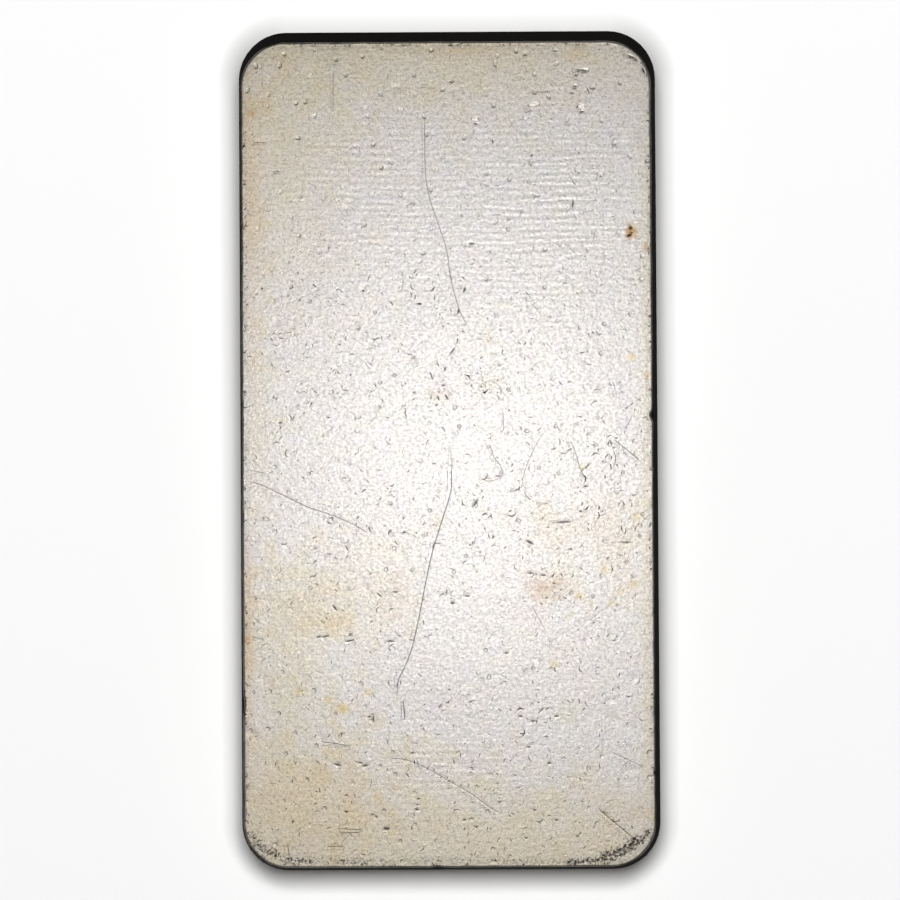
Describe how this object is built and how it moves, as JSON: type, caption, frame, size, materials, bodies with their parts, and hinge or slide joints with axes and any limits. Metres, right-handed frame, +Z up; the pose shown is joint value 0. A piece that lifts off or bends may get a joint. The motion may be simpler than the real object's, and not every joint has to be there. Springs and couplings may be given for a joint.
{
  "type": "metal ingot",
  "caption": "Small flat cast metal ingot, a rounded rectangular bar with drafted walls, rolled edges and a plain worn face, lying on its larger face.",
  "frame": {"origin": "centre of the ingot's footprint, on the surface that it lies on", "axes": "+Z up out of the plain face, +Y along the length towards the end that is a hair narrower, +X across the width"},
  "size_m": [0.0444, 0.089, 0.0077],
  "materials": {
    "cast_silver": "satin"
  },
  "bodies": {
    "root": {"ingot": "cast_silver"}
  },
  "joints": []
}
